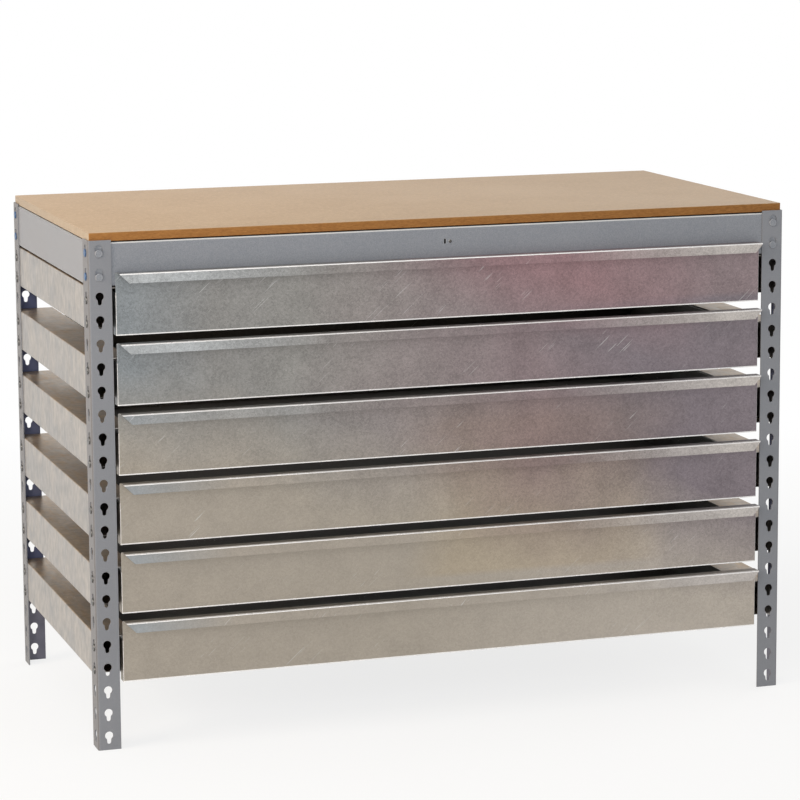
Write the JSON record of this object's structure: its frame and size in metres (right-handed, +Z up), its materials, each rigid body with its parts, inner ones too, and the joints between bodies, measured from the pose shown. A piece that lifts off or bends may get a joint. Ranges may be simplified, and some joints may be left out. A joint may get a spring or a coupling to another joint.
{
  "type": "workbench with drawers",
  "caption": "Slotted steel angle workbench with a fibreboard top and a stack of shallow galvanised drawers, each with a full-width folded pull, sliding on channel runners",
  "frame": {"origin": "on the floor, under the centre of the whole box, drawer pulls and stud heads included", "axes": "+X to the right as seen by someone facing the drawers, -Y towards that person (drawers open along -Y), +Z up"},
  "size_m": [1.214, 0.6394, 0.848],
  "materials": {
    "painted_steel": "semi-gloss blue-grey paint",
    "galvanised_steel": "bright galvanised sheet with fine spangle",
    "zinc_studs": "zinc plated",
    "blue_studs": "blue paint",
    "board": "raw fibreboard"
  },
  "bodies": {
    "frame": {"worktop": "board", "post_front_left": "painted_steel", "post_front_right": "painted_steel", "post_back_left": "painted_steel", "post_back_right": "painted_steel", "beam_front": "painted_steel", "beam_back": "painted_steel", "beam_left": "painted_steel", "beam_right": "painted_steel", "worktop_brace": "painted_steel", "brace_rivets": "zinc_studs", "long_beam_studs": "painted_steel", "side_beam_studs": "blue_studs", "runner_studs_left": "zinc_studs", "runner_studs_right": "zinc_studs", "runner_left_1": "galvanised_steel", "runner_left_2": "galvanised_steel", "runner_left_3": "galvanised_steel", "runner_left_4": "galvanised_steel", "runner_left_5": "galvanised_steel", "runner_left_6": "galvanised_steel", "runner_right_1": "galvanised_steel", "runner_right_2": "galvanised_steel", "runner_right_3": "galvanised_steel", "runner_right_4": "galvanised_steel", "runner_right_5": "galvanised_steel", "runner_right_6": "galvanised_steel"},
    "drawer_1": {"drawer_front_1": "galvanised_steel", "drawer_tray_1": "galvanised_steel"},
    "drawer_2": {"drawer_front_2": "galvanised_steel", "drawer_tray_2": "galvanised_steel"},
    "drawer_3": {"drawer_front_3": "galvanised_steel", "drawer_tray_3": "galvanised_steel"},
    "drawer_4": {"drawer_front_4": "galvanised_steel", "drawer_tray_4": "galvanised_steel"},
    "drawer_5": {"drawer_front_5": "galvanised_steel", "drawer_tray_5": "galvanised_steel"},
    "drawer_6": {"drawer_front_6": "galvanised_steel", "drawer_tray_6": "galvanised_steel"}
  },
  "joints": [
    {"name": "drawer_1_slide", "type": "slide", "parent": "frame", "child": "drawer_1", "axis": [0, -1, 0], "range_m": [0, 0.4]},
    {"name": "drawer_2_slide", "type": "slide", "parent": "frame", "child": "drawer_2", "axis": [0, -1, 0], "range_m": [0, 0.4]},
    {"name": "drawer_3_slide", "type": "slide", "parent": "frame", "child": "drawer_3", "axis": [0, -1, 0], "range_m": [0, 0.4]},
    {"name": "drawer_4_slide", "type": "slide", "parent": "frame", "child": "drawer_4", "axis": [0, -1, 0], "range_m": [0, 0.4]},
    {"name": "drawer_5_slide", "type": "slide", "parent": "frame", "child": "drawer_5", "axis": [0, -1, 0], "range_m": [0, 0.4]},
    {"name": "drawer_6_slide", "type": "slide", "parent": "frame", "child": "drawer_6", "axis": [0, -1, 0], "range_m": [0, 0.4]}
  ]
}
